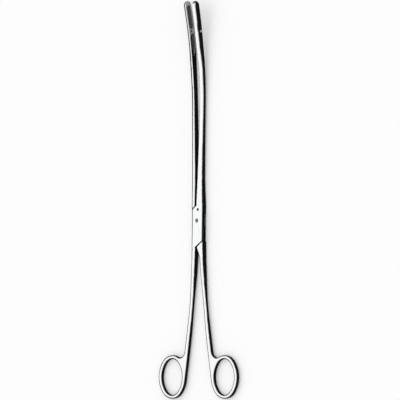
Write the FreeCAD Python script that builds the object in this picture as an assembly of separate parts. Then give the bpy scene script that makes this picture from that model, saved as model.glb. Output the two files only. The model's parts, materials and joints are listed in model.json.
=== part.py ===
import FreeCAD, Part
import math
import os

from FreeCAD import Vector

# Lengths along the forceps, from the pivot axis
TIP_REACH = 175.0
RING_REACH = 142.5
JAW_LENGTH = 28.0
HOLE_FROM_TIP = 24.0
WAIST_Y = 96.0
LOWER_ARM_Y = 34.0

# Side curve of the arms: straight to BEND_Y, then one long arc that lifts the jaws
BEND_Y = 90.0
BEND_RADIUS = 365.0

# Opening: the forceps lies a little open, and swings from closed to wide open
REST_OPEN = 2.1
JAW_PLAY = 0.08

# Box lock
LOCK_WIDTH = 10.6
LOCK_THICK = 6.4
LOCK_ROUND = 1.5
TONGUE_THICK = 2.3
TONGUE_ROUND_RADIUS = 4.9
TONGUE_SIDE_END_Y = 2.9
TONGUE_HUB_X = 3.9
SLOT_PLAY = 0.05
WEB_PLAY = 0.15
SIDE_SET = 0.1
SHOULDER_PLAY = 0.25
SHOULDER_CHAMFER = 0.25
UPPER_SHOULDER_Y = 7.9
UPPER_SHOULDER_RISE = 4.3
LOWER_SHOULDER_Y = 16.3
LOWER_SHOULDER_DROP = 5.0
WEB_END_Y = 5.5
WEB_END_X = 2.6
PIN_DIAMETER = 2.8
PIN_PLAY = 0.04
PIN_CHAMFER = 0.3
PIN_DIMPLE_DIAMETER = 1.3
PIN_DIMPLE_DEPTH = 0.35
PUNCH_MARK_DIAMETER = 2.2
PUNCH_MARK_DEPTH = 0.8
PUNCH_MARK_X = 1.0
PUNCH_MARK_Y = 8.8

# Arms: the box half's arm leaves the lock wider than the tongue half's
BOX_ARM_INNER = -0.5
TONGUE_ARM_INNER = 1.9
LOWER_ARM_WIDTH = 3.7
LOWER_ARM_THICK = 5.9
LOWER_ARM_GAP = 1.3
WAIST_WIDTH = 3.3
WAIST_THICK = 5.2
WAIST_GAP = 2.3
FLARE_THICK = 5.7
FLARE_GAP = 1.8
ARM_INNER_ROUND = 0.45
ARM_BACK_ROUND = 2.3
CHANNEL_RADIUS = 3.4
CHANNEL_DEPTH = 0.55
CHANNEL_LOW_Y = 24.0
CHANNEL_END_GAP = 1.0
SECTION_PITCH = 5.0

# Jaws
JAW_WIDTH = 7.2
JAW_THICK = 3.0
JAW_BACK_ROUND = 2.3
JAW_EDGE_ROUND = 0.35
RECESS_WIDTH = 4.8
RECESS_DEPTH = 1.4
RECESS_TIP_RIM = 3.6
RECESS_FLOOR_ROUND = 0.4
HOLE_DIAMETER = 1.9
HOLE_SINK_DIAMETER = 3.0
HOLE_LAND = 1.9
LOWER_RECESS_LENGTH = 17.0
LOWER_RECESS_TAPER = 6.0
SERRATION_PITCH = 1.0
SERRATION_DEPTH = 0.22

# Shanks
CROTCH_X = 1.1
FORK_SLIT = 1.0
FORK_Y = 31.5
SHANK_WIDTH = 3.3
FORK_THICK = 5.8
FORK_SLOPE = 0.04
HEEL_HOLLOW = 1.8
SHANK_PITCH = 3.5
SHANK_WAIST_WIDTH = 3.0
SHANK_WAIST_THICK = 4.0
SHANK_ROUND = 1.2

# Finger rings
RING_HOLE_WIDTH = 21.3
RING_HOLE_LENGTH = 28.8
RING_END_RADIUS = 8.6
RING_RIM = 2.9
RING_THICK = 4.6
RING_ROUND = 1.3
RING_CENTRE_X = 24.8
RING_NECK_WIDTH = 3.4
RING_NECK_LEAN = 7.5
RING_NECK_RISE = 9.0
RING_CROOK_RADIUS = 5.5

# Pieces of one forging run this far into each other, and cuts run this far past what they cut
JOIN = 0.4
CUT_MARGIN = 4.0

# Worked out from the sizes above
LOCK_HALF = LOCK_WIDTH / 2
MID_Z = LOCK_THICK / 2
ARM_START_Y = UPPER_SHOULDER_Y + UPPER_SHOULDER_RISE
SHANK_START_Y = LOWER_SHOULDER_Y + LOWER_SHOULDER_DROP
BEND_CENTRE = Vector(0, BEND_Y, MID_Z + BEND_RADIUS)
HEEL_Y = TIP_REACH - JAW_LENGTH
HOLE_Y = TIP_REACH - HOLE_FROM_TIP
JAW_FACE = JAW_PLAY / 2
NOSE_Y = TIP_REACH - JAW_WIDTH / 2
RING_Y = -(RING_REACH - RING_HOLE_LENGTH / 2 - RING_RIM)
X_AXIS = Vector(1, 0, 0)
Z_AXIS = Vector(0, 0, 1)


def bend_angle(y):
    """Slope of the side curve, in degrees, at a distance y from the pivot."""
    if y <= BEND_Y:
        return 0.0
    return math.degrees(math.asin((y - BEND_Y) / BEND_RADIUS))


def on_bend(y, height):
    """Point in the plane x = 0, height above the arm's middle line where that line passes y."""
    slope = math.radians(bend_angle(y))
    if y <= BEND_Y:
        return Vector(0, y, MID_Z + height)
    radius = BEND_RADIUS - height
    return BEND_CENTRE + Vector(0, radius * math.sin(slope), -radius * math.cos(slope))


def up_at(y):
    """Direction across the arm's thickness at y."""
    slope = math.radians(bend_angle(y))
    return Vector(0, -math.sin(slope), math.cos(slope))


def rounded_section(centre, across, up, inner, outer, thick, inner_round, outer_round):
    """Rounded rectangle from inner to outer along across, its thickness shared either way along up."""
    half = thick / 2
    corners = (
        (outer - outer_round, half - outer_round, outer_round, 0),
        (inner + inner_round, half - inner_round, inner_round, 90),
        (inner + inner_round, inner_round - half, inner_round, 180),
        (outer - outer_round, outer_round - half, outer_round, 270),
    )
    arcs = []
    for x, z, radius, start in corners:
        points = []
        for turn in (0, 45, 90):
            angle = math.radians(start + turn)
            along = across * (x + radius * math.cos(angle))
            points.append(centre + along + up * (z + radius * math.sin(angle)))
        arcs.append(points)
    edges = []
    for here, after in zip(arcs, arcs[1:] + arcs[:1]):
        edges.append(Part.Arc(*here).toShape())
        edges.append(Part.makeLine(here[2], after[0]))
    return Part.Wire(edges)


def plate(points, low, high):
    """Flat plate over a polygon of (x, y) points, between two heights."""
    corners = [Vector(x, y, low) for x, y in points]
    face = Part.Face(Part.makePolygon(corners + corners[:1]))
    return face.extrude(Vector(0, 0, high - low))


def mirrored(shape):
    """The same shape on the other side of the middle plane."""
    return shape.mirror(Vector(0, 0, 0), X_AXIS)


def fused(first, *others):
    """One solid from pieces that meet."""
    joined = first.fuse(list(others)).removeSplitter()
    return joined.Solids[0] if len(joined.Solids) == 1 else joined


def arm_section(y, inner, width, thick, inner_round, back_round):
    """One section of an arm, square to its side curve."""
    return rounded_section(
        on_bend(y, 0), X_AXIS, up_at(y), inner, inner + width, thick, inner_round, back_round
    )


def arm_stations(lock_inner):
    """An arm from the lock to the jaw's heel: place, inner edge, width, thickness, inner and back rounding."""
    lower_inner = (lock_inner + LOWER_ARM_GAP / 2) / 2
    lower_width = LOWER_ARM_WIDTH + (TONGUE_ARM_INNER - lock_inner) / 4
    lower_round = (LOCK_ROUND + ARM_BACK_ROUND) / 2
    flare_y = (WAIST_Y + HEEL_Y) / 2
    return (
        (ARM_START_Y, lock_inner, LOCK_HALF - lock_inner, LOCK_THICK, ARM_INNER_ROUND / 2, LOCK_ROUND),
        (LOWER_ARM_Y, lower_inner, lower_width, LOWER_ARM_THICK, ARM_INNER_ROUND, lower_round),
        (WAIST_Y, WAIST_GAP / 2, WAIST_WIDTH, WAIST_THICK, ARM_INNER_ROUND, ARM_BACK_ROUND),
        (flare_y, FLARE_GAP / 2, WAIST_WIDTH, FLARE_THICK, ARM_INNER_ROUND, ARM_BACK_ROUND),
        (HEEL_Y, JAW_FACE, JAW_THICK, JAW_WIDTH, JAW_EDGE_ROUND, JAW_BACK_ROUND),
    )


def hermite(t, start, end, start_slope, end_slope):
    """Value and slope of a cubic between two ends, its slopes given over the whole run."""
    value = (
        (2 * t**3 - 3 * t**2 + 1) * start
        + (t**3 - 2 * t**2 + t) * start_slope
        + (3 * t**2 - 2 * t**3) * end
        + (t**3 - t**2) * end_slope
    )
    slope = (
        (6 * t**2 - 6 * t) * (start - end)
        + (3 * t**2 - 4 * t + 1) * start_slope
        + (3 * t**2 - 2 * t) * end_slope
    )
    return value, slope


def between_stations(stations, y):
    """Sizes at y on a smooth curve through the stations, level at the last one."""
    last = len(stations) - 1
    index = min(sum(1 for station in stations[1:] if station[0] < y), last - 1)
    here, after = stations[index], stations[index + 1]
    span = after[0] - here[0]
    t = (y - here[0]) / span
    sizes = []
    for column in range(1, len(here)):
        slopes = []
        for place in (index, index + 1):
            if place == last:
                slopes.append(0.0)
                continue
            low, high = stations[max(place - 1, 0)], stations[place + 1]
            slopes.append((high[column] - low[column]) / (high[0] - low[0]) * span)
        sizes.append(hermite(t, here[column], after[column], *slopes)[0])
    return sizes


def even_steps(start, end, pitch):
    """Places from start to end, both included, about a pitch apart."""
    count = max(2, round(abs(end - start) / pitch))
    return [start + (end - start) * step / count for step in range(count + 1)]


def arm_channel(stations):
    """Shallow hollow along an arm's inner side, cut with a round tool that ends in balls."""
    end_y = HOLE_Y - HOLE_LAND - LOWER_RECESS_LENGTH - CHANNEL_END_GAP
    rings = []
    centres = []
    for y in even_steps(CHANNEL_LOW_Y, end_y, SECTION_PITCH):
        inner = between_stations(stations, y)[0]
        centre = on_bend(y, 0) + X_AXIS * (inner + CHANNEL_DEPTH - CHANNEL_RADIUS)
        along = up_at(y).cross(X_AXIS)
        rings.append(Part.Wire(Part.makeCircle(CHANNEL_RADIUS, centre, along)))
        centres.append(centre)
    tool = Part.makeLoft(rings, True)
    balls = [Part.makeSphere(CHANNEL_RADIUS, centre) for centre in (centres[0], centres[-1])]
    return [tool] + balls


def recess_tool(low_y, high_y, taper):
    """Cutter for a long recess in the jaw face, round at the top, and round or pointed below."""
    half = RECESS_WIDTH / 2
    top_y = high_y - half
    low_side_y = low_y + (taper if taper else half)
    middle_y = (top_y + low_side_y) / 2
    near, far = [
        Part.Arc(on_bend(low_side_y, side), on_bend(middle_y, side), on_bend(top_y, side)).toShape()
        for side in (half, -half)
    ]
    crown = Part.Arc(on_bend(top_y, half), on_bend(high_y, 0), on_bend(top_y, -half)).toShape()
    if taper:
        foot = [
            Part.makeLine(on_bend(low_side_y, -half), on_bend(low_y, 0)),
            Part.makeLine(on_bend(low_y, 0), on_bend(low_side_y, half)),
        ]
    else:
        foot = [
            Part.Arc(
                on_bend(low_side_y, -half), on_bend(low_y, 0), on_bend(low_side_y, half)
            ).toShape()
        ]
    outline = Part.Wire(Part.__sortEdges__([near, crown, far] + foot))
    tool = Part.Face(outline).extrude(X_AXIS * (JAW_FACE + RECESS_DEPTH))
    floor_x = JAW_FACE + RECESS_DEPTH
    floor = [edge for edge in tool.Edges if edge.BoundBox.XMin > floor_x - 0.01]
    return tool.makeFillet(RECESS_FLOOR_ROUND, floor)


def pin_hole_tool():
    """Cutter for the small hole through the jaw, sunk on both faces."""
    centre = on_bend(HOLE_Y, 0)
    start = centre - X_AXIS * CUT_MARGIN
    bore = Part.makeCylinder(HOLE_DIAMETER / 2, JAW_THICK + 2 * CUT_MARGIN, start, X_AXIS)
    sink = (HOLE_SINK_DIAMETER - HOLE_DIAMETER) / 2
    cones = []
    for face_x, way in ((JAW_FACE, 1), (JAW_FACE + JAW_THICK, -1)):
        mouth = centre + X_AXIS * (face_x - way * sink)
        wide = HOLE_SINK_DIAMETER / 2 + sink
        cones.append(Part.makeCone(wide, HOLE_DIAMETER / 2, 2 * sink, mouth, X_AXIS * way))
    return [bore] + cones


def serration_tools():
    """Fine V cuts across the gripping rims, from the heel to the tip."""
    tools = []
    count = int((TIP_REACH - HEEL_Y - 2 * SERRATION_PITCH) / SERRATION_PITCH)
    for step in range(count):
        y = HEEL_Y + (step + 1.5) * SERRATION_PITCH
        up = up_at(y)
        along = X_AXIS.cross(up) * -1
        base = on_bend(y, 0) - up * JAW_WIDTH
        crest = base + X_AXIS * (JAW_FACE + SERRATION_DEPTH)
        mouth = X_AXIS * (JAW_FACE - SERRATION_DEPTH)
        spread = along * (2 * SERRATION_DEPTH)
        outline = Part.makePolygon([crest, base + mouth + spread, base + mouth - spread, crest])
        tools.append(Part.Face(outline).extrude(up * (2 * JAW_WIDTH)))
    return tools


def jaw():
    """Right-hand jaw: rounded back, flat gripping face, rounded nose, two recesses and the small hole."""
    profile = arm_section(HEEL_Y, JAW_FACE, JAW_THICK, JAW_WIDTH, JAW_EDGE_ROUND, JAW_BACK_ROUND)
    sweep = bend_angle(NOSE_Y) - bend_angle(HEEL_Y)
    body = Part.Face(profile).revolve(BEND_CENTRE, X_AXIS, sweep)
    end_profile = profile.copy()
    end_profile.rotate(BEND_CENTRE, X_AXIS, sweep)
    nose_centre = on_bend(NOSE_Y, 0)
    upper_half = Part.makeBox(
        4 * JAW_WIDTH, 2 * JAW_WIDTH, JAW_WIDTH, Vector(-2 * JAW_WIDTH, -JAW_WIDTH, 0)
    )
    upper_half.rotate(Vector(0, 0, 0), X_AXIS, bend_angle(NOSE_Y))
    upper_half.translate(nose_centre)
    half_face = Part.Face(end_profile).common(upper_half).Faces[0]
    nose = half_face.revolve(nose_centre, X_AXIS, -180)
    blank = fused(body, nose)
    upper_low_y = HOLE_Y + HOLE_LAND
    lower_high_y = HOLE_Y - HOLE_LAND
    tools = [recess_tool(upper_low_y, TIP_REACH - RECESS_TIP_RIM, 0)]
    tools += pin_hole_tool()
    tools += serration_tools()
    return blank, tools, recess_tool(lower_high_y - LOWER_RECESS_LENGTH, lower_high_y, LOWER_RECESS_TAPER)


def arm_and_jaw(lock_inner):
    """Arm on the +X side, with its jaw, in the closed position."""
    stations = arm_stations(lock_inner)
    places = even_steps(ARM_START_Y, HEEL_Y, SECTION_PITCH)
    arm = Part.makeLoft([arm_section(y, *between_stations(stations, y)) for y in places], True)
    blank, tools, lower_recess = jaw()
    body = fused(arm, blank)
    return body.cut(tools + [lower_recess] + arm_channel(stations))


def ring_outline(rim):
    """The four tangent arcs of the ring's oval, a rim's width outside the hole: centres and radii."""
    half_width = RING_HOLE_WIDTH / 2
    end_offset = RING_HOLE_LENGTH / 2 - RING_END_RADIUS
    side_radius = (half_width**2 + end_offset**2 - RING_END_RADIUS**2) / (2 * (half_width - RING_END_RADIUS))
    side_offset = side_radius - half_width
    return end_offset, RING_END_RADIUS + rim, side_offset, side_radius + rim


def arc_between(centre, radius, start, end):
    """Arc about a centre, between two angles in degrees."""
    points = []
    for angle in (start, (start + end) / 2, end):
        turn = math.radians(angle)
        points.append(centre + Vector(radius * math.cos(turn), radius * math.sin(turn), 0))
    return Part.Arc(*points).toShape()


def neck_frame():
    """Middle and direction of the ring's neck where the shank joins it, and the tangent point below."""
    end_offset, end_radius, side_offset, side_radius = ring_outline(RING_RIM)
    lean = math.radians(RING_NECK_LEAN)
    outward = Vector(math.cos(lean), math.sin(lean), 0)
    upward = Vector(-math.sin(lean), math.cos(lean), 0)
    side_centre = Vector(RING_CENTRE_X + side_offset, RING_Y, 0)
    touch = side_centre - outward * side_radius
    rise = (RING_Y + end_offset + end_radius + RING_NECK_RISE - touch.y) / upward.y
    inner_top = touch + upward * rise
    return touch, inner_top, outward, upward


def finger_ring():
    """Right-hand finger ring with its neck: an oval eye, a crook on the outer side, all edges rounded."""
    end_offset, end_radius, side_offset, side_radius = ring_outline(RING_RIM)
    touch, inner_top, outward, upward = neck_frame()
    outer_top = inner_top + outward * RING_NECK_WIDTH
    top_centre = Vector(RING_CENTRE_X, RING_Y + end_offset, 0)
    low_centre = Vector(RING_CENTRE_X, RING_Y - end_offset, 0)
    near_centre = Vector(RING_CENTRE_X + side_offset, RING_Y, 0)
    far_centre = Vector(RING_CENTRE_X - side_offset, RING_Y, 0)
    tangent = math.degrees(math.atan2(end_offset, side_offset))

    reach = (outer_top + outward * RING_CROOK_RADIUS - top_centre).dot(outward)
    drop = math.sqrt((end_radius + RING_CROOK_RADIUS) ** 2 - reach**2)
    crook_centre = top_centre + outward * reach + upward * drop
    crook_start = crook_centre - outward * RING_CROOK_RADIUS
    to_ring = top_centre - crook_centre
    ring_angle = math.degrees(math.atan2(-to_ring.y, -to_ring.x))
    crook_end_angle = math.degrees(math.atan2(to_ring.y, to_ring.x)) % 360
    crook_start_angle = 180 + RING_NECK_LEAN

    outline = [
        Part.makeLine(inner_top, outer_top),
        Part.makeLine(outer_top, crook_start),
        arc_between(crook_centre, RING_CROOK_RADIUS, crook_start_angle, crook_end_angle),
        arc_between(top_centre, end_radius, ring_angle, tangent),
        arc_between(far_centre, side_radius, tangent, -tangent),
        arc_between(low_centre, end_radius, -tangent, tangent - 180),
        arc_between(near_centre, side_radius, 180 + tangent, 180 + RING_NECK_LEAN),
        Part.makeLine(touch, inner_top),
    ]
    hole_end_radius = RING_END_RADIUS
    hole_side_radius = side_radius - RING_RIM
    hole = [
        arc_between(top_centre, hole_end_radius, 180 - tangent, tangent),
        arc_between(far_centre, hole_side_radius, tangent, -tangent),
        arc_between(low_centre, hole_end_radius, -tangent, tangent - 180),
        arc_between(near_centre, hole_side_radius, 180 + tangent, 180 - tangent),
    ]
    blank, eye = [
        Part.Face(Part.Wire(edges)).extrude(Z_AXIS * RING_THICK) for edges in (outline, hole)
    ]
    solid = blank.cut(eye)
    solid.translate(Z_AXIS * (MID_Z - RING_THICK / 2))
    neck_middle = (inner_top + outer_top) / 2
    rims = []
    for edge in solid.Edges:
        away = abs((edge.CenterOfMass - neck_middle).dot(upward))
        if edge.BoundBox.ZLength < 1e-6 and away > 1e-3:
            rims.append(edge)
    return solid.makeFillet(RING_ROUND, rims)


def shank(inner_corner):
    """Right-hand shank in the closed position, from the lock to the ring's neck."""
    touch, inner_top, outward, upward = neck_frame()
    end = inner_top + outward * (RING_NECK_WIDTH / 2)
    start_x = LOCK_HALF - SHANK_WIDTH / 2
    length = -FORK_Y - end.y
    end_slope = math.tan(math.radians(RING_NECK_LEAN)) * length
    sections = []
    for y in even_steps(-SHANK_START_Y, end.y, SHANK_PITCH):
        t = max(0.0, (-FORK_Y - y) / length)
        fork = max(0.0, (y + FORK_Y) / (FORK_Y - SHANK_START_Y))
        eased = hermite(fork, 0.0, 1.0, 0.0, 0.0)[0]
        x, slope = hermite(t, start_x, end.x, FORK_SLOPE * length, end_slope)
        lean = math.atan2(slope, length) * (1 - eased)
        narrowing = math.sin(math.pi * t) ** 2
        width = SHANK_WIDTH + t * (RING_NECK_WIDTH - SHANK_WIDTH)
        width += narrowing * (SHANK_WAIST_WIDTH - (SHANK_WIDTH + RING_NECK_WIDTH) / 2)
        thick = hermite(t, FORK_THICK, RING_THICK, 0.0, 0.0)[0]
        thick += narrowing * (SHANK_WAIST_THICK - (FORK_THICK + RING_THICK) / 2)
        thick += eased * (LOCK_THICK - FORK_THICK)
        round_off = SHANK_ROUND + t * (RING_ROUND - SHANK_ROUND)
        outer_round = round_off + eased * (LOCK_ROUND - SHANK_ROUND)
        inner_round = round_off + eased * (ARM_INNER_ROUND / 2 - SHANK_ROUND)
        spread = fork**HEEL_HOLLOW * (LOCK_HALF - SHANK_WIDTH - inner_corner)
        across = Vector(math.cos(lean), math.sin(lean), 0)
        centre = Vector(x, y, MID_Z)
        sections.append(
            rounded_section(
                centre, across, Z_AXIS, -width / 2 - spread, width / 2, thick, inner_round, outer_round
            )
        )
    return Part.makeLoft(sections, True)


def upper_shoulder(x):
    """Height in plan of the upper shoulder's slanting line at x."""
    run = LOCK_HALF + BOX_ARM_INNER
    return UPPER_SHOULDER_Y + UPPER_SHOULDER_RISE * (x + LOCK_HALF) / run


def lower_shoulder(x):
    """Height in plan of the lower shoulder's slanting line at x."""
    run = LOCK_HALF + CROTCH_X
    return -LOWER_SHOULDER_Y - LOWER_SHOULDER_DROP * (LOCK_HALF - x) / run


def upper_web(y):
    """Face of the upper web, which the tongue nears as the jaws close."""
    return WEB_END_X + (BOX_ARM_INNER - WEB_END_X) * (y - WEB_END_Y) / (ARM_START_Y - WEB_END_Y)


def lower_web(y):
    """Face of the lower web."""
    return -WEB_END_X + (WEB_END_X - CROTCH_X) * (-y - WEB_END_Y) / (SHANK_START_Y - WEB_END_Y)


def eased_edges(block):
    """The block with its long side edges rounded and the edges of its slanting shoulder broken."""
    sides = []
    for edge in block.Edges:
        box = edge.BoundBox
        if box.XLength < 1e-6 and box.YLength > JOIN and abs(abs(box.XMin) - LOCK_HALF) < 1e-6:
            sides.append(edge)
    rounded = block.makeFillet(LOCK_ROUND, sides)
    shoulders = []
    for edge in rounded.Edges:
        box = edge.BoundBox
        if min(box.XLength, box.YLength) > 1e-3 and box.ZLength < 1e-6 and len(edge.Vertexes) == 2:
            shoulders.append(edge)
    return rounded.makeChamfer(SHOULDER_CHAMFER, shoulders)


def box_block():
    """The lock's box before its slot: flat plates with slanting shoulders and rounded long edges."""
    outline = [
        (-LOCK_HALF, UPPER_SHOULDER_Y),
        (BOX_ARM_INNER, ARM_START_Y),
        (LOCK_HALF, ARM_START_Y),
        (LOCK_HALF, -LOWER_SHOULDER_Y),
        (-CROTCH_X, -SHANK_START_Y),
        (-LOCK_HALF, -SHANK_START_Y),
    ]
    return eased_edges(plate(outline, 0, LOCK_THICK))


def slot_tool():
    """The slot through the box, open to both sides between its two webs."""
    far = LOCK_HALF + CUT_MARGIN
    top_y = ARM_START_Y + CUT_MARGIN
    low_y = -SHANK_START_Y - CUT_MARGIN
    outline = [
        (-far, top_y),
        (upper_web(top_y), top_y),
        (WEB_END_X, WEB_END_Y),
        (far, WEB_END_Y),
        (far, low_y),
        (lower_web(low_y), low_y),
        (-WEB_END_X, -WEB_END_Y),
        (-far, -WEB_END_Y),
    ]
    half = TONGUE_THICK / 2 + SLOT_PLAY
    return plate(outline, MID_Z - half, MID_Z + half)


def pin_seat_tools():
    """Hole for the pin through both plates, with a fine chamfer at each mouth."""
    radius = PIN_DIAMETER / 2
    depth = 2 * PIN_CHAMFER
    bore = Part.makeCylinder(radius, LOCK_THICK)
    low = Part.makeCone(radius + depth, radius, depth, Vector(0, 0, -PIN_CHAMFER))
    high = Part.makeCone(radius, radius + depth, depth, Vector(0, 0, LOCK_THICK - PIN_CHAMFER))
    return [bore, low, high]


def round_dimple(diameter, depth, x, y, front):
    """Ball that leaves a round dimple in the lock's front face, or in its back face."""
    radius = (diameter**2 / 4 + depth**2) / (2 * depth)
    height = LOCK_THICK + radius - depth if front else depth - radius
    return Part.makeSphere(radius, Vector(x, y, height))


def tongue():
    """Thinned middle of the tongue half, which passes through the slot and turns on the pin."""
    side = LOCK_HALF - SIDE_SET
    low = MID_Z - TONGUE_THICK / 2
    high = MID_Z + TONGUE_THICK / 2
    lip_x = upper_web(ARM_START_Y - SHOULDER_PLAY) - WEB_PLAY
    upper = [
        (-side, ARM_START_Y + JOIN),
        (-TONGUE_ARM_INNER, ARM_START_Y + JOIN),
        (-TONGUE_ARM_INNER, upper_shoulder(-TONGUE_ARM_INNER)),
        (lip_x, upper_shoulder(lip_x)),
        (upper_web(TONGUE_SIDE_END_Y) - WEB_PLAY, TONGUE_SIDE_END_Y),
        (-TONGUE_HUB_X, 0),
        (-side, TONGUE_SIDE_END_Y),
    ]
    heel_x = heel_inner()
    sill_x = lower_web(-SHANK_START_Y) + WEB_PLAY
    lower = [
        (side, -SHANK_START_Y - JOIN),
        (heel_x, -SHANK_START_Y - JOIN),
        (heel_x, lower_shoulder(heel_x)),
        (sill_x, lower_shoulder(sill_x)),
        (lower_web(-TONGUE_SIDE_END_Y) + WEB_PLAY, -TONGUE_SIDE_END_Y),
        (TONGUE_HUB_X, 0),
        (side, -TONGUE_SIDE_END_Y),
    ]
    disc = Part.makeCylinder(TONGUE_ROUND_RADIUS, TONGUE_THICK, Vector(0, 0, low))
    return [disc, plate(upper, low, high), plate(lower, low, high)]


def heel_inner():
    """Inner corner of the tongue half's heel, a slit's width right of the box half's."""
    return FORK_SLIT - CROTCH_X


def shoulder_blocks():
    """Full-thickness ends of the tongue half, which face the box's shoulders."""
    upper_gap = SHOULDER_PLAY * math.hypot(1, UPPER_SHOULDER_RISE / (LOCK_HALF + BOX_ARM_INNER))
    lower_gap = SHOULDER_PLAY * math.hypot(1, LOWER_SHOULDER_DROP / (LOCK_HALF + CROTCH_X))
    heel_x = heel_inner()
    upper = plate(
        [
            (-LOCK_HALF, UPPER_SHOULDER_Y + upper_gap),
            (-TONGUE_ARM_INNER, upper_shoulder(-TONGUE_ARM_INNER) + upper_gap),
            (-TONGUE_ARM_INNER, ARM_START_Y),
            (-LOCK_HALF, ARM_START_Y),
        ],
        0,
        LOCK_THICK,
    )
    lower = plate(
        [
            (LOCK_HALF, -LOWER_SHOULDER_Y - lower_gap),
            (LOCK_HALF, -SHANK_START_Y),
            (heel_x, -SHANK_START_Y),
            (heel_x, lower_shoulder(heel_x) - lower_gap),
        ],
        0,
        LOCK_THICK,
    )
    return [eased_edges(upper), eased_edges(lower)]


def box_half():
    """Left ring, left shank, box of the lock, right arm and right jaw, forged as one."""
    body = fused(
        box_block(),
        arm_and_jaw(BOX_ARM_INNER),
        mirrored(shank(CROTCH_X)),
        mirrored(finger_ring()),
    )
    punch_mark = round_dimple(PUNCH_MARK_DIAMETER, PUNCH_MARK_DEPTH, PUNCH_MARK_X, PUNCH_MARK_Y, True)
    return body.cut([slot_tool(), punch_mark] + pin_seat_tools())


def tongue_half():
    """Right ring, right shank, tongue of the lock, left arm and left jaw, forged as one."""
    body = fused(
        shoulder_blocks()[0],
        *tongue(),
        shoulder_blocks()[1],
        mirrored(arm_and_jaw(TONGUE_ARM_INNER)),
        shank(heel_inner()),
        finger_ring(),
    )
    return body.cut(Part.makeCylinder(PIN_DIAMETER / 2 + PIN_PLAY, LOCK_THICK))


def pivot_pin():
    """Plain pin through the box and the tongue, its ends flush, chamfered and centre-dimpled."""
    pin = Part.makeCylinder(PIN_DIAMETER / 2, LOCK_THICK)
    ends = [edge for edge in pin.Edges if edge.Closed]
    dimples = [round_dimple(PIN_DIMPLE_DIAMETER, PIN_DIMPLE_DEPTH, 0, 0, up) for up in (True, False)]
    return pin.makeChamfer(PIN_CHAMFER / 2, ends).cut(dimples)


def main():
    """Build the three pieces and write them where they lie at rest, a little open."""
    os.makedirs("parts", exist_ok=True)
    origin = Vector(0, 0, 0)
    pieces = {
        "box_half": (box_half(), -REST_OPEN / 2),
        "tongue_half": (tongue_half(), REST_OPEN / 2),
        "pivot_pin": (pivot_pin(), 0.0),
    }
    for name, (shape, turn) in pieces.items():
        shape.rotate(origin, Z_AXIS, turn)
        print(name, shape.ShapeType, len(shape.Solids), shape.isValid(), round(shape.Volume, 2))
        shape.exportStep("parts/" + name + ".step")


main()
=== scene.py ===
"""Looks of a long curved placenta forceps of polished steel, lying on its back on a pale floor."""

import json
import logging
import math
from abc import ABC, abstractmethod
from dataclasses import dataclass, field
from enum import Enum
from typing import Any, NamedTuple

import bmesh
import bpy
from mathutils import Matrix, Vector

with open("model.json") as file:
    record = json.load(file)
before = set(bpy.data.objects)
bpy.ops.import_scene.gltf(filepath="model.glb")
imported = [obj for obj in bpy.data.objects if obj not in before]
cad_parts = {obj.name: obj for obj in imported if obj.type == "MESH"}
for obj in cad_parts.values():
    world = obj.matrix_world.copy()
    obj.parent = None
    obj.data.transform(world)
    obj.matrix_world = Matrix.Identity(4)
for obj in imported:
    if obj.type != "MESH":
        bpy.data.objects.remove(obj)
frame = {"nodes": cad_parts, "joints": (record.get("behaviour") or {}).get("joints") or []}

LOG = logging.getLogger("forceps")
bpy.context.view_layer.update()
PIVOT = frame["joints"][0]
MIDDLE_HEIGHT = PIVOT["pos_m"][2]
MM = 0.001

Colour = tuple[float, float, float]
Point = tuple[float, float]
Span = tuple[float, float]
Socket = bpy.types.NodeSocket
Value = Socket | float


class Side(Enum):
    """Which side of the open forceps a jaw is on, as the sign of its x."""

    LEFT = -1.0
    RIGHT = 1.0


@dataclass(frozen=True)
class Pattern:
    """A noise: its grains per metre along x, y and z, and its octaves of finer noise."""

    grain: tuple[float, float, float]
    detail: float


HANDLING = Pattern(grain=(70.0, 70.0, 70.0), detail=3.0)
BUFFING = Pattern(grain=(5200.0, 110.0, 5200.0), detail=2.0)
RIPPLE = Pattern(grain=(150.0, 60.0, 150.0), detail=1.0)


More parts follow.
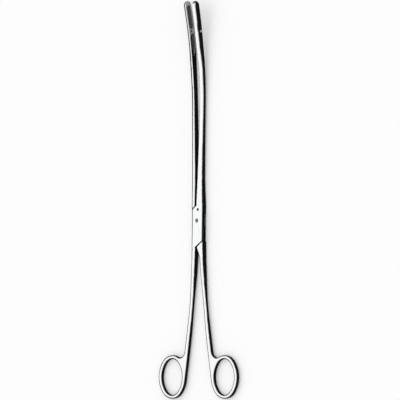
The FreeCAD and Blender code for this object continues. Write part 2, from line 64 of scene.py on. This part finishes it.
class Graph:
    """A material's or world's node tree, with short calls for what every finish needs."""

    def __init__(self, tree: bpy.types.NodeTree) -> None:
        """Start from an empty tree.

        Args:
            tree: The node tree to fill.
        """
        self.tree = tree
        tree.nodes.clear()

    def node(self, kind: str, **settings: Any) -> bpy.types.Node:
        """Add a node.

        Args:
            kind: The node's type name.
            **settings: Properties to set on it.

        Returns:
            The new node.
        """
        made = self.tree.nodes.new(kind)
        for name, value in settings.items():
            setattr(made, name, value)
        return made

    def link(self, output: Socket, target: Socket) -> None:
        """Join an output to an input."""
        self.tree.links.new(output, target)

    def show(self, shader: Socket, kind: str = "ShaderNodeOutputMaterial") -> None:
        """Make a shader the tree's result."""
        self.link(shader, self.node(kind).inputs["Surface"])

    def math(self, operation: str, *values: Value) -> Socket:
        """Add one arithmetic step.

        Args:
            operation: The step's name.
            *values: What it works on, as sockets or numbers.

        Returns:
            The step's value.
        """
        step = self.node("ShaderNodeMath", operation=operation)
        for socket, value in zip(step.inputs, values):
            if isinstance(value, Socket):
                self.link(value, socket)
            else:
                socket.default_value = value
        return step.outputs[0]

    def all_of(self, *masks: Socket) -> Socket:
        """Find where every one of several masks holds.

        Args:
            *masks: The masks.

        Returns:
            Their product.
        """
        product = masks[0]
        for mask in masks[1:]:
            product = self.math("MULTIPLY", product, mask)
        return product

    def length(self, first: Socket, second: Socket) -> Socket:
        """The length of the line with these two sides."""
        square = self.math("MULTIPLY_ADD", first, first, self.math("MULTIPLY", second, second))
        return self.math("SQRT", square)

    def towards(self, value: Value, end: float, mask: Socket) -> Socket:
        """The value, moved to another number where a mask holds."""
        return self.math("MULTIPLY_ADD", mask, self.math("SUBTRACT", end, value), value)

    def spread(self, value: Socket, source: Span, result: Span) -> Socket:
        """Map a value smoothly from one range to another, held at its ends.

        Args:
            value: The value to map.
            source: Where the value's range starts and ends.
            result: What it becomes there.

        Returns:
            The mapped value.
        """
        ranged = self.node("ShaderNodeMapRange", interpolation_type="SMOOTHSTEP")
        self.link(value, ranged.inputs["Value"])
        limits = ("From Min", "From Max", "To Min", "To Max")
        for name, limit in zip(limits, (*source, *result)):
            ranged.inputs[name].default_value = limit
        return ranged.outputs["Result"]

    def tint(self, plain: Socket | Colour, marked: Colour, mask: Socket) -> Socket:
        """Mix two colours.

        Args:
            plain: The colour outside the mask, as a colour or a socket.
            marked: The colour inside it.
            mask: The mask.

        Returns:
            The mixed colour.
        """
        mixed = self.node("ShaderNodeMixRGB")
        self.link(mask, mixed.inputs["Fac"])
        if isinstance(plain, Socket):
            self.link(plain, mixed.inputs["Color1"])
        else:
            mixed.inputs["Color1"].default_value = (*plain, 1.0)
        mixed.inputs["Color2"].default_value = (*marked, 1.0)
        return mixed.outputs["Color"]

    def object_place(self) -> Socket:
        """Object coordinates."""
        return self.node("ShaderNodeTexCoord").outputs["Object"]

    def axes(self, place: Socket) -> tuple[Socket, Socket, Socket]:
        """Take coordinates apart.

        Args:
            place: The coordinates.

        Returns:
            Their x, y and z.
        """
        parts = self.node("ShaderNodeSeparateXYZ")
        self.link(place, parts.inputs[0])
        x, y, z = parts.outputs
        return x, y, z

    def noise(self, place: Socket, pattern: Pattern) -> Socket:
        """Add a noise.

        Args:
            place: The coordinates that it reads.
            pattern: Its grain.

        Returns:
            The noise's value, about 0.5 in the middle.
        """
        mapping = self.node("ShaderNodeMapping")
        mapping.inputs["Scale"].default_value = pattern.grain
        self.link(place, mapping.inputs["Vector"])
        texture = self.node("ShaderNodeTexNoise")
        texture.inputs["Scale"].default_value = 1.0
        texture.inputs["Detail"].default_value = pattern.detail
        self.link(mapping.outputs["Vector"], texture.inputs["Vector"])
        return texture.outputs["Fac"]

    def bump(self, height: Socket, depth: float, normal: Socket) -> Socket:
        """Add a relief.

        Args:
            height: The relief's height, from 0 to 1.
            depth: How deep it is in metres.
            normal: The surface's direction without it.

        Returns:
            The surface's direction with it.
        """
        relief = self.node("ShaderNodeBump")
        relief.inputs["Distance"].default_value = depth
        self.link(height, relief.inputs["Height"])
        self.link(normal, relief.inputs["Normal"])
        return relief.outputs["Normal"]

    def matt(self, colour: Colour) -> Socket:
        """Add a matt shader.

        Args:
            colour: Its colour.

        Returns:
            The shader.
        """
        shader = self.node("ShaderNodeBsdfDiffuse")
        shader.inputs["Color"].default_value = (*colour, 1.0)
        return shader.outputs["BSDF"]

    def shown(self) -> Socket:
        """Tell what is seen from what lights the object.

        Returns:
            1 for what the camera sees, straight or in the metal, and 0 for the light on the object.
        """
        path = self.node("ShaderNodeLightPath")
        direct = self.math("MAXIMUM", path.outputs["Is Camera Ray"], path.outputs["Is Glossy Ray"])
        return self.math("MAXIMUM", direct, path.outputs["Is Transmission Ray"])


def new_material(name: str) -> tuple[bpy.types.Material, Graph]:
    """Make a material with an empty node tree.

    Args:
        name: The material's name.

    Returns:
        The material and its tree.
    """
    material = bpy.data.materials.new(name)
    material.use_nodes = True
    return material, Graph(material.node_tree)


@dataclass(frozen=True)
class LocalFinish:
    """How the steel looks in a place that isn't polished."""

    colour: Colour
    roughness: float
    metal: float


GROUND = LocalFinish(colour=(0.65, 0.65, 0.655), roughness=0.5, metal=0.3)
# Steel left as forged in the jaw recesses, darkened further with painted shade for the shadow inside them.
FORGED_WITH_PAINTED_SHADE = LocalFinish(colour=(0.16, 0.16, 0.163), roughness=0.42, metal=0.8)
# Near-black steel: painted shade for the shadow in holes, the box's slot, dimples, the pin's chamfers and
# the lock's joint lines, partly the dark of oil in the joints.
OIL_AND_PAINTED_SHADE = LocalFinish(colour=(0.03, 0.029, 0.028), roughness=0.32, metal=0.9)
Patches = list[tuple[Socket, LocalFinish]]


@dataclass(frozen=True)
class Places(ABC):
    """Where a piece of polished steel has another finish or painted shade."""

    blend: float = 0.05 * MM

    def within(self, graph: Graph, value: Socket, low: float, high: float) -> Socket:
        """Find where a value lies between two limits.

        Args:
            graph: The material's tree.
            value: The value to test.
            low: The lower limit.
            high: The upper limit.

        Returns:
            1 between the limits and 0 outside them, with a short blend beyond each.
        """
        above = graph.spread(value, (low - self.blend, low), (0.0, 1.0))
        below = graph.spread(value, (high, high + self.blend), (1.0, 0.0))
        return graph.math("MULTIPLY", above, below)

    def near(self, graph: Graph, value: Socket, reach: float) -> Socket:
        """Find where a value is within reach of 0, to either side."""
        return self.within(graph, value, -reach, reach)

    @abstractmethod
    def patches(self, graph: Graph, place: Socket) -> Patches:
        """Find the places that aren't polished, and those darkened with painted shade.

        Args:
            graph: The material's tree.
            place: Object coordinates.

        Returns:
            Each place's mask and its finish.
        """


@dataclass(frozen=True)
class PinPlaces(Places):
    """The centre dimples and the chamfers of the pin's polished ends, darkened with painted shade."""

    dimple_radius: float = 0.62 * MM
    dimple_mouth: float = 3.12 * MM
    chamfer_start: float = 1.12 * MM
    pin_radius: float = 1.4 * MM

    def patches(self, graph: Graph, place: Socket) -> Patches:
        """Find the dimples and the chamfers of both ends.

        Args:
            graph: The material's tree.
            place: Object coordinates.

        Returns:
            Each place's mask and its finish.
        """
        x, y, z = graph.axes(place)
        off_axis = graph.length(x, y)
        height = graph.math("SUBTRACT", z, MIDDLE_HEIGHT)
        dimple = graph.all_of(
            self.near(graph, off_axis, self.dimple_radius),
            self.near(graph, height, self.dimple_mouth),
        )
        chamfer = self.within(graph, off_axis, self.chamfer_start, self.pin_radius)
        # The dimples and the chamfer ring take the near-black finish as painted shade.
        return [(dimple, OIL_AND_PAINTED_SHADE), (chamfer, OIL_AND_PAINTED_SHADE)]


class Spot(NamedTuple):
    """Where a point of one half lies when the forceps is closed.

    Attributes:
        across: Its x.
        along: Its y, from the pivot.
        height: How far it is above the lock's middle plane.
        outwards: How far it is from the plane between the jaws, on its own half's side.
        off_middle: How far it is behind the curved middle line of the arms.
    """

    across: Socket
    along: Socket
    height: Socket
    outwards: Socket
    off_middle: Socket


@dataclass(frozen=True)
class HalfPlaces(Places):
    """Where one half of the forceps isn't polished or is darkened with painted shade, measured as if the
    forceps were closed.
    """

    side: Side = Side.RIGHT
    closing: float = 0.0
    bend_start: float = 90.0 * MM
    bend_radius: float = 365.0 * MM
    jaw_end: float = 176.0 * MM
    grip_start: float = 146.5 * MM
    grip_depth: float = 0.3 * MM
    recess_start: float = 131.5 * MM
    recess_half_width: float = 2.4 * MM
    recess_wall: float = 0.72 * MM
    recess_floor: float = 1.74 * MM
    hole_y: float = 151.0 * MM
    hole_radius: float = 0.95 * MM
    slot_top: float = 12.4 * MM
    slot_foot: float = -21.5 * MM
    slot_half_height: float = 1.2 * MM
    slot_half_width: float = 5.2 * MM
    punch_centre: Point = (1.0 * MM, 8.8 * MM)
    punch_radius: float = 1.02 * MM
    punch_floor: float = 2.3 * MM
    punch_mouth: float = 3.12 * MM
    upper_seam: tuple[Point, Point] = ((-5.3 * MM, 8.07 * MM), (-0.5 * MM, 12.37 * MM))
    lower_seam: tuple[Point, Point] = ((-1.1 * MM, -21.46 * MM), (5.3 * MM, -16.46 * MM))
    seam_half_width: float = 0.38 * MM

    def closed_spot(self, graph: Graph, place: Socket) -> Spot:
        """Work out where a point lies when the forceps is closed.

        Args:
            graph: The material's tree.
            place: Object coordinates, at rest.

        Returns:
            The point's place.
        """
        turned = graph.node("ShaderNodeMapping")
        turned.inputs["Rotation"].default_value = (0.0, 0.0, self.closing)
        graph.link(place, turned.inputs["Vector"])
        x, y, z = graph.axes(turned.outputs["Vector"])
        height = graph.math("SUBTRACT", z, MIDDLE_HEIGHT)
        outwards = graph.math("MULTIPLY", x, self.side.value)
        past_bend = graph.math("SUBTRACT", y, self.bend_start)
        below_centre = graph.math("SUBTRACT", self.bend_radius, height)
        off_centre = graph.length(past_bend, below_centre)
        off_middle = graph.math("SUBTRACT", off_centre, self.bend_radius)
        return Spot(x, y, height, outwards, off_middle)

    def grip(self, graph: Graph, spot: Spot) -> Socket:
        """The gripping face."""
        return graph.all_of(
            self.near(graph, spot.outwards, self.grip_depth),
            self.within(graph, spot.along, self.grip_start, self.jaw_end),
        )

    def recess(self, graph: Graph, spot: Spot) -> Socket:
        """The recesses of the jaw and of the arm's end, darkened with painted shade."""
        return graph.all_of(
            self.within(graph, spot.outwards, self.recess_wall, self.recess_floor),
            self.near(graph, spot.off_middle, self.recess_half_width),
            self.within(graph, spot.along, self.recess_start, self.jaw_end),
        )

    def hole(self, graph: Graph, spot: Spot) -> Socket:
        """The small hole through the jaw."""
        off_hole = graph.length(spot.off_middle, graph.math("SUBTRACT", spot.along, self.hole_y))
        return self.near(graph, off_hole, self.hole_radius)

    def slot(self, graph: Graph, spot: Spot) -> Socket:
        """The box's slot and the tongue in it."""
        return graph.all_of(
            self.near(graph, spot.across, self.slot_half_width),
            self.within(graph, spot.along, self.slot_foot, self.slot_top),
            self.near(graph, spot.height, self.slot_half_height),
        )

    def punch_mark(self, graph: Graph, spot: Spot) -> Socket:
        """Find the round mark beside the upper shoulder.

        Args:
            graph: The material's tree.
            spot: The point's place.

        Returns:
            1 in the mark, below the front face, and 0 elsewhere.
        """
        x, y = self.punch_centre
        right = graph.math("SUBTRACT", spot.across, x)
        above = graph.math("SUBTRACT", spot.along, y)
        return graph.all_of(
            self.near(graph, graph.length(right, above), self.punch_radius),
            self.within(graph, spot.height, self.punch_floor, self.punch_mouth),
        )

    def seam(self, graph: Graph, spot: Spot, ends: tuple[Point, Point]) -> Socket:
        """Find the joint line where the two halves' shoulders face each other.

        Args:
            graph: The material's tree.
            spot: The point's place.
            ends: The line's left end and its right end.

        Returns:
            1 along the joint line, over both shoulders' chamfers, and 0 elsewhere.
        """
        (left, left_y), (right, right_y) = ends
        run, rise = right - left, right_y - left_y
        span = math.hypot(run, rise)
        at_start = (left * rise - left_y * run) / span
        off_line = graph.math("MULTIPLY_ADD", spot.across, -rise / span, at_start)
        off_line = graph.math("MULTIPLY_ADD", spot.along, run / span, off_line)
        margin = self.seam_half_width
        return graph.all_of(
            self.near(graph, off_line, margin),
            self.within(graph, spot.across, left - margin, right + margin),
        )

    def patches(self, graph: Graph, place: Socket) -> Patches:
        """Find the ground gripping face, the recesses left as forged and darkened with painted shade, and
        the painted shade in the hole, slot, punch mark and joints.

        Args:
            graph: The material's tree.
            place: Object coordinates.

        Returns:
            Each place's mask and its finish.
        """
        spot = self.closed_spot(graph, place)
        # Hole, slot, punch mark and joint lines take the near-black finish: painted shade, with the dark
        # of oil in the joints.
        oil_and_shade_marks = [self.hole(graph, spot), self.slot(graph, spot), self.punch_mark(graph, spot)]
        for ends in (self.upper_seam, self.lower_seam):
            oil_and_shade_marks.append(self.seam(graph, spot, ends))
        # The recesses are darkened with painted shade over the as-forged finish.
        bare = [(self.grip(graph, spot), GROUND), (self.recess(graph, spot), FORGED_WITH_PAINTED_SHADE)]
        return bare + [(mask, OIL_AND_PAINTED_SHADE) for mask in oil_and_shade_marks]


@dataclass(frozen=True)
class PolishedSteel:
    """Stainless steel, buffed along the instrument to a bright polish, with other finishes and painted
    shade in places.
    """

    name: str
    colour: Colour = (0.633, 0.638, 0.646)
    hairline_share: float = 0.9
    hairline_limits: Span = (0.5, 0.75)
    roughness: Span = (0.10, 0.19)
    handling_limits: Span = (0.35, 0.7)
    line_depth: float = 0.0012 * MM
    ripple_depth: float = 0.02 * MM
    easing_radius: float = 0.5 * MM
    easing_samples: int = 6

    def lined_colour(self, graph: Graph, lines: Socket) -> Socket:
        """Darken the steel a little in its hairlines.

        Args:
            graph: The material's tree.
            lines: The noise of the buffing.

        Returns:
            The steel's colour.
        """
        hairlines = graph.spread(lines, self.hairline_limits, (0.0, 1.0))
        red, green, blue = (self.hairline_share * part for part in self.colour)
        return graph.tint(self.colour, (red, green, blue), hairlines)

    def relief(self, graph: Graph, place: Socket, lines: Socket) -> Socket:
        """Ease the edges, and add the fine lines and the broad ripple of a buffed surface.

        Args:
            graph: The material's tree.
            place: Object coordinates.
            lines: The noise of the buffing.

        Returns:
            The surface's direction.
        """
        eased = graph.node("ShaderNodeBevel", samples=self.easing_samples)
        eased.inputs["Radius"].default_value = self.easing_radius
        lined = graph.bump(lines, self.line_depth, eased.outputs["Normal"])
        return graph.bump(graph.noise(place, RIPPLE), self.ripple_depth, lined)

    def build(self, places: Places) -> bpy.types.Material:
        """Make the material.

        Args:
            places: Where the piece isn't polished or is darkened with painted shade.

        Returns:
            The finished material.
        """
        material, graph = new_material(self.name)
        place = graph.object_place()
        lines = graph.noise(place, BUFFING)
        colour = self.lined_colour(graph, lines)
        handling = graph.noise(place, HANDLING)
        roughness = graph.spread(handling, self.handling_limits, self.roughness)
        metal: Value = 1.0
        for mask, finish in places.patches(graph, place):
            colour = graph.tint(colour, finish.colour, mask)
            roughness = graph.towards(roughness, finish.roughness, mask)
            metal = graph.towards(metal, finish.metal, mask)
        shader = graph.node("ShaderNodeBsdfPrincipled")
        graph.link(colour, shader.inputs["Base Color"])
        graph.link(roughness, shader.inputs["Roughness"])
        graph.link(metal, shader.inputs["Metallic"])
        graph.link(self.relief(graph, place, lines), shader.inputs["Normal"])
        graph.show(shader.outputs["BSDF"])
        return material


@dataclass(frozen=True)
class FloorPaper:
    """Pale matt paper that looks whiter than its light makes it, and lights the object no more for it."""

    name: str = "floor_paper"
    colour: Colour = (0.8, 0.8, 0.8)
    glow: float = 0.2

    def build(self) -> bpy.types.Material:
        """Make the material.

        Returns:
            The finished material.
        """
        material, graph = new_material(self.name)
        white = graph.node("ShaderNodeEmission")
        graph.link(graph.math("MULTIPLY", graph.shown(), self.glow), white.inputs["Strength"])
        both = graph.node("ShaderNodeAddShader")
        graph.link(graph.matt(self.colour), both.inputs[0])
        graph.link(white.outputs["Emission"], both.inputs[1])
        graph.show(both.outputs["Shader"])
        return material


@dataclass(frozen=True)
class CardBlack:
    """Black card, which may fade to nothing at a height above the floor."""

    name: str
    colour: Colour = (0.012, 0.012, 0.012)
    fade_height: float = 0.0

    def build(self) -> bpy.types.Material:
        """Make the material.

        Returns:
            The finished material.
        """
        material, graph = new_material(self.name)
        surface = graph.matt(self.colour)
        if self.fade_height:
            height = graph.axes(graph.object_place())[2]
            clear = graph.node("ShaderNodeBsdfTransparent").outputs["BSDF"]
            fading = graph.node("ShaderNodeMixShader")
            graph.link(graph.spread(height, (0.0, self.fade_height), (0.0, 1.0)), fading.inputs["Fac"])
            graph.link(surface, fading.inputs[1])
            graph.link(clear, fading.inputs[2])
            surface = fading.outputs["Shader"]
        graph.show(surface)
        return material


@dataclass
class Forceps:
    """The three steel pieces, dressed where the frame puts them."""

    nodes: dict[str, bpy.types.Object]
    closing_turn: float = math.radians(-PIVOT["range_deg"][0]) / 2
    join_distance: float = 0.001 * MM
    edge_angle: float = math.radians(38.0)
    # The pin's steel is painted darker than the rest as painted shade, so that its end reads as a dark
    # dot.
    pin_painted_shade_colour: Colour = (0.36, 0.364, 0.368)
    pin_roughness: Span = (0.16, 0.26)
    pieces: list[str] = field(default_factory=list)

    def even_shading(self, piece: bpy.types.Object) -> None:
        """Join a piece's surfaces where they meet, and shade it smoothly up to its real edges.

        Args:
            piece: The piece's object.
        """
        joined = piece.modifiers.new("joined_surfaces", "WELD")
        joined.merge_threshold = self.join_distance
        edges = piece.modifiers.new("real_edges", "EDGE_SPLIT")
        edges.split_angle = self.edge_angle
        edges.use_edge_sharp = False
        shading = piece.modifiers.new("even_shading", "WEIGHTED_NORMAL")
        shading.mode = "FACE_AREA_WITH_ANGLE"
        shading.keep_sharp = True

    def dress(self, node: str, steel: PolishedSteel, places: Places) -> None:
        """Give a piece its finish.

        Args:
            node: The piece's name in the frame.
            steel: Its finish.
            places: Where it isn't polished or is darkened with painted shade.
        """
        piece = self.nodes[node]
        material = steel.build(places)
        for index in range(len(piece.data.materials)):
            piece.data.materials[index] = material
        self.even_shading(piece)
        self.pieces.append(node)
        LOG.info("%s wears %s", node, material.name)

    def build(self) -> None:
        """Dress the box half on the right, the tongue half on the left and the pin."""
        right = HalfPlaces(side=Side.RIGHT, closing=self.closing_turn)
        left = HalfPlaces(side=Side.LEFT, closing=-self.closing_turn)
        pin_steel = PolishedSteel("pin_end_steel", colour=self.pin_painted_shade_colour, roughness=self.pin_roughness)
        self.dress("box_half", PolishedSteel("box_half_steel"), right)
        self.dress("tongue_half", PolishedSteel("tongue_half_steel"), left)
        self.dress("pivot_pin", pin_steel, PinPlaces())


@dataclass
class Studio:
    """Pale floor, a broad soft light overhead, dark cards that only the metal sees, and the camera."""

    turn: float = math.radians(40.0)
    pixel: float = 0.797 * MM
    frame_pixels: int = 400
    axis_pixel: float = 199.0
    pivot_pixel: float = 220.5
    camera_distance: float = 1.2
    camera_reach: float = 10.0
    floor_side: float = 12.0
    backdrop: float = 0.97
    ambient: float = 0.62
    key_width: float = 2.6
    key_length: float = 2.4
    key_height: float = 1.0
    key_radiance: float = 0.55
    mat_side: float = 1.2
    mat_lift: float = 0.02 * MM
    card_distance: float = 0.62
    card_height: float = 0.55
    card_length: float = 2.4
    band_radius: float = 3.0
    band_height: float = 1.1
    band_segments: int = 64

    def sheet(self, width: float, length: float, place: Matrix) -> bmesh.types.BMesh:
        """Make a flat sheet.

        Args:
            width: Its size along its own x.
            length: Its size along its own y.
            place: Where it goes.

        Returns:
            Its shape.
        """
        shape = bmesh.new()
        bmesh.ops.create_grid(shape, x_segments=1, y_segments=1, size=0.5)
        bmesh.ops.scale(shape, vec=(width, length, 1.0), verts=shape.verts)
        bmesh.ops.transform(shape, matrix=place, verts=shape.verts)
        return shape

    def stand(self, name: str, shape: bmesh.types.BMesh, material: bpy.types.Material) -> bpy.types.Object:
        """Turn a shape into a part of the studio.

        Args:
            name: The part's name.
            shape: Its shape, which is used up.
            material: Its finish.

        Returns:
            The part.
        """
        mesh = bpy.data.meshes.new(name)
        shape.to_mesh(mesh)
        shape.free()
        mesh.materials.append(material)
        part = bpy.data.objects.new(name, mesh)
        bpy.context.scene.collection.objects.link(part)
        LOG.info("%s is in place", name)
        return part

    def floor(self) -> None:
        """Lay the pale floor."""
        shape = self.sheet(self.floor_side, self.floor_side, Matrix.Identity(4))
        self.stand("floor", shape, FloorPaper().build())

    def dark_mat(self) -> bmesh.types.BMesh:
        """Shape the mat just above the floor.

        Returns:
            Its shape.
        """
        place = Matrix.Translation((0.0, 0.0, self.mat_lift))
        return self.sheet(self.mat_side, self.mat_side, place)

    def left_card(self) -> bmesh.types.BMesh:
        """Shape the card that stands to the left, along the forceps.

        Returns:
            Its shape.
        """
        place = Matrix.Translation((-self.card_distance, 0.0, self.card_height / 2))
        upright = Matrix.Rotation(math.pi / 2, 4, "Y")
        return self.sheet(self.card_height, self.card_length, place @ upright)

    def horizon_band(self) -> bmesh.types.BMesh:
        """Shape the band that stands all round.

        Returns:
            Its shape.
        """
        shape = bmesh.new()
        bmesh.ops.create_cone(
            shape,
            cap_ends=False,
            segments=self.band_segments,
            radius1=self.band_radius,
            radius2=self.band_radius,
            depth=self.band_height,
            matrix=Matrix.Translation((0.0, 0.0, self.band_height / 2)),
        )
        return shape

    def reflected_black(self) -> None:
        """Set up the mat, the card and the band, and show them only in the metal."""
        card = CardBlack("card_black").build()
        fading = CardBlack("band_black", fade_height=self.band_height).build()
        parts = (
            self.stand("dark_mat", self.dark_mat(), card),
            self.stand("left_card", self.left_card(), card),
            self.stand("horizon_band", self.horizon_band(), fading),
        )
        for part in parts:
            part.visible_camera = False
            part.visible_diffuse = False
            part.visible_shadow = False

    def world(self) -> None:
        """Light the room evenly, and show it pale to the camera and in the metal."""
        world = bpy.data.worlds.new("room")
        bpy.context.scene.world = world
        world.use_nodes = True
        graph = Graph(world.node_tree)
        strength = graph.math("MULTIPLY_ADD", graph.shown(), self.backdrop - self.ambient, self.ambient)
        background = graph.node("ShaderNodeBackground")
        background.inputs["Color"].default_value = (1.0, 1.0, 1.0, 1.0)
        graph.link(strength, background.inputs["Strength"])
        graph.show(background.outputs["Background"], "ShaderNodeOutputWorld")

    def key(self) -> None:
        """Hang the broad soft light overhead."""
        light = bpy.data.lights.new("softbox", "AREA")
        light.shape = "RECTANGLE"
        light.size = self.key_width
        light.size_y = self.key_length
        light.energy = math.pi * self.key_radiance * self.key_width * self.key_length
        lamp = bpy.data.objects.new("softbox", light)
        lamp.location = (0.0, 0.0, self.key_height)
        bpy.context.scene.collection.objects.link(lamp)

    def camera(self) -> None:
        """Set the camera at the drawing's angle, from the front and turned to the right."""
        data = bpy.data.cameras.new("camera")
        data.type = "ORTHO"
        data.ortho_scale = self.frame_pixels * self.pixel
        data.clip_end = self.camera_reach
        right = Vector((math.cos(self.turn), 0.0, -math.sin(self.turn)))
        up = Vector((0.0, 1.0, 0.0))
        back = Vector((math.sin(self.turn), 0.0, math.cos(self.turn)))
        middle = self.frame_pixels / 2
        aim = Vector((0.0, 0.0, MIDDLE_HEIGHT))
        aim += right * (middle - self.axis_pixel) * self.pixel
        aim += up * (self.pivot_pixel - middle) * self.pixel
        place = Matrix((right, up, back)).transposed().to_4x4()
        place.translation = aim + back * self.camera_distance
        camera = bpy.data.objects.new("camera", data)
        camera.matrix_world = place
        bpy.context.scene.collection.objects.link(camera)
        bpy.context.scene.camera = camera

    def build(self) -> None:
        """Set up the studio."""
        self.floor()
        self.reflected_black()
        self.world()
        self.key()
        self.camera()
        bpy.context.scene.view_settings.view_transform = "Standard"


def main() -> None:
    """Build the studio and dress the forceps."""
    logging.basicConfig(level=logging.INFO, format="%(name)s: %(message)s")
    Studio().build()
    forceps = Forceps(frame["nodes"])
    forceps.build()
    LOG.info("%d pieces dressed", len(forceps.pieces))


if __name__ == "__main__":
    main()
